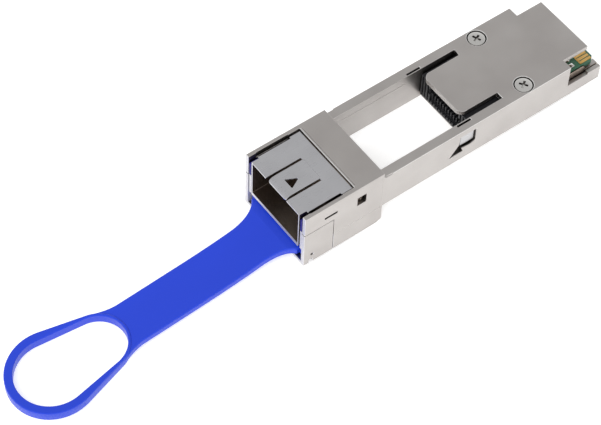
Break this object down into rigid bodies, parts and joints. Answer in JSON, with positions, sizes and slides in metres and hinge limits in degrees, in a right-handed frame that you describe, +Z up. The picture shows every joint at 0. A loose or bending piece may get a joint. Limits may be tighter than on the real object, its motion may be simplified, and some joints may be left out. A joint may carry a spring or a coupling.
{
  "type": "plug-in module adapter",
  "caption": "Long metal plug adapter with an open frame that holds a smaller plug-in module, a card edge at the rear and a blue pull tab with a finger loop.",
  "frame": {"origin": "on the stop face that meets the host socket's front, on the centre plane, level with the plug's underside", "axes": "+X along the plug towards its card edge, +Y to the left, +Z up through the cover with the two screws"},
  "size_m": [0.1287, 0.0184, 0.0194],
  "materials": {
    "casting": "satin nickel plate on die-cast zinc, fine cast grain",
    "sheet_metal": "satin tin-plated sheet, faint rolling lines",
    "slide_steel": "stamped stainless sheet",
    "spring_steel": "drawn spring wire",
    "pull_plastic": "semi-gloss moulded thermoplastic, royal blue",
    "board": "green solder mask on glass laminate",
    "contact_gold": "gold-plated copper",
    "socket_plastic": "black glass-filled nylon",
    "screw_steel": "bright nickel-plated steel",
    "chip_body": "black moulding compound",
    "ferrite": "grey sintered ferrite",
    "capacitor_body": "tan multilayer ceramic"
  },
  "bodies": {
    "frame": {"main_frame": "casting", "front_collar": "casting", "belly_cover": "casting", "bottom_tray": "casting", "module_cage": "sheet_metal", "return_spring_left": "spring_steel", "return_spring_right": "spring_steel", "circuit_board": "board", "edge_contacts_top": "contact_gold", "edge_contacts_bottom": "contact_gold", "socket_housing": "socket_plastic", "socket_contacts_upper": "contact_gold", "socket_contacts_lower": "contact_gold", "cover_screw_left": "screw_steel", "cover_screw_right": "screw_steel", "controller_chip": "chip_body", "memory_chip": "chip_body", "power_inductor": "ferrite", "capacitor_1": "capacitor_body", "capacitor_2": "capacitor_body", "capacitor_3": "capacitor_body", "capacitor_4": "capacitor_body"},
    "pull": {"release_slide": "slide_steel", "pull_tab": "pull_plastic"},
    "latch_leaf": {"cage_latch_leaf": "sheet_metal"}
  },
  "joints": [
    {"name": "pull_slide", "type": "slide", "parent": "frame", "child": "pull", "axis": [-1, 0, 0], "range_m": [0, 0.0025], "stiffness_N_per_m": 800, "springref_m": -0.001, "deforming": ["return_spring_left", "return_spring_right"]},
    {"name": "leaf_flex", "type": "hinge", "parent": "frame", "child": "latch_leaf", "pos_m": [-0.0099, -0.0002, 0.00915], "axis": [0, 1, 0], "range_deg": [0, 6], "stiffness_Nm_per_rad": 0.15}
  ]
}
